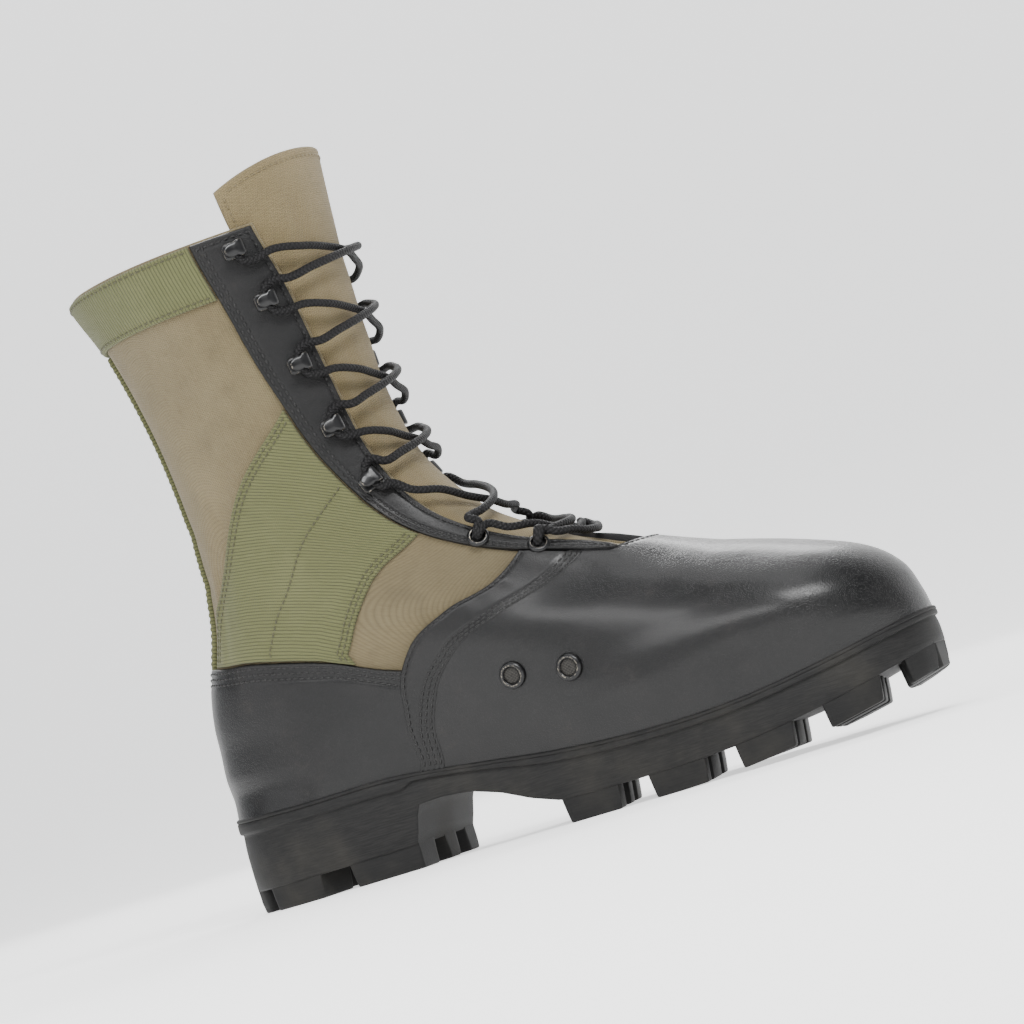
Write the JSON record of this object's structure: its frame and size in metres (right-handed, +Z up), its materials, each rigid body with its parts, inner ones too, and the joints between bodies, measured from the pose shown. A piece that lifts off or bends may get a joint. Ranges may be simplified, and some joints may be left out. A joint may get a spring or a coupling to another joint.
{
  "type": "jungle boot",
  "caption": "Lace-up boot for the left foot with a lugged rubber sole, leather toe and heel, canvas shaft, woven tape bands, hooks and drain vents",
  "frame": {"origin": "middle of the bounding box in plan, on the floor under heel and ball", "axes": "+X towards the toe, +Y towards the outer side of the foot, +Z up"},
  "size_m": [0.3136, 0.1112, 0.298],
  "materials": {
    "outsole": "matte moulded",
    "insole": "dark felt",
    "upper": "khaki canvas",
    "tongue": "tan canvas",
    "vamp": "black, finished grain",
    "heel_counter": "black, finished grain",
    "eyestay_medial": "black, finished grain",
    "edge_strip_medial": "black, finished grain",
    "side_webbing_medial": "olive woven tape",
    "eyestay_lateral": "black, finished grain",
    "edge_strip_lateral": "black, finished grain",
    "side_webbing_lateral": "olive woven tape",
    "collar_webbing": "olive woven tape",
    "back_webbing": "olive woven tape",
    "hook_medial_1": "black lacquer",
    "hook_medial_2": "black lacquer",
    "hook_medial_3": "black lacquer",
    "hook_medial_4": "black lacquer",
    "hook_medial_5": "black lacquer",
    "eyelet_medial_1": "black lacquer",
    "eyelet_medial_2": "black lacquer",
    "hook_lateral_1": "black lacquer",
    "hook_lateral_2": "black lacquer",
    "hook_lateral_3": "black lacquer",
    "hook_lateral_4": "black lacquer",
    "hook_lateral_5": "black lacquer",
    "eyelet_lateral_1": "black lacquer",
    "eyelet_lateral_2": "black lacquer",
    "vent_1": "black lacquer",
    "vent_2": "black lacquer",
    "lace": "black braided lace"
  },
  "bodies": {
    "root": {"outsole": "outsole", "insole": "insole", "upper": "upper", "tongue": "tongue", "vamp": "vamp", "heel_counter": "heel_counter", "eyestay_medial": "eyestay_medial", "edge_strip_medial": "edge_strip_medial", "side_webbing_medial": "side_webbing_medial", "eyestay_lateral": "eyestay_lateral", "edge_strip_lateral": "edge_strip_lateral", "side_webbing_lateral": "side_webbing_lateral", "collar_webbing": "collar_webbing", "back_webbing": "back_webbing", "hook_medial_1": "hook_medial_1", "hook_medial_2": "hook_medial_2", "hook_medial_3": "hook_medial_3", "hook_medial_4": "hook_medial_4", "hook_medial_5": "hook_medial_5", "eyelet_medial_1": "eyelet_medial_1", "eyelet_medial_2": "eyelet_medial_2", "hook_lateral_1": "hook_lateral_1", "hook_lateral_2": "hook_lateral_2", "hook_lateral_3": "hook_lateral_3", "hook_lateral_4": "hook_lateral_4", "hook_lateral_5": "hook_lateral_5", "eyelet_lateral_1": "eyelet_lateral_1", "eyelet_lateral_2": "eyelet_lateral_2", "vent_1": "vent_1", "vent_2": "vent_2", "lace": "lace"}
  },
  "joints": []
}
